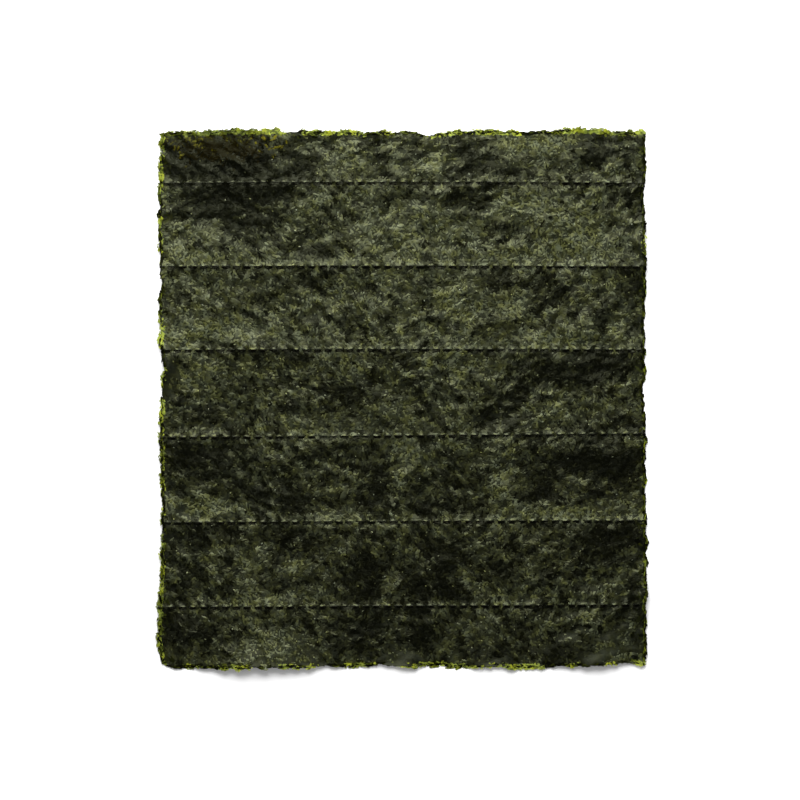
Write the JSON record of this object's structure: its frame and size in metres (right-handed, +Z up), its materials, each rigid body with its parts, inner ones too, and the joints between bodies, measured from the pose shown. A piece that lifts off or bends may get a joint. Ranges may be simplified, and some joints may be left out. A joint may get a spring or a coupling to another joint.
{
  "type": "roasted nori sheet",
  "caption": "Full sheet of roasted nori: a thin, crisp, slightly wavy leaf of pressed seaweed with ragged edges and perforated tear lines across it.",
  "frame": {"origin": "on the table under the middle of the sheet's bounding box", "axes": "+Z up from the table, +X along the tear lines, +Y to the far edge, which has the narrowest strip"},
  "size_m": [0.1926, 0.2128, 0.0039],
  "materials": {
    "roasted_seaweed": "green-black pressed seaweed shreds with a dull sheen, yellow-green where the torn rim thins out"
  },
  "bodies": {
    "root": {"nori_sheet": "roasted_seaweed"}
  },
  "joints": []
}
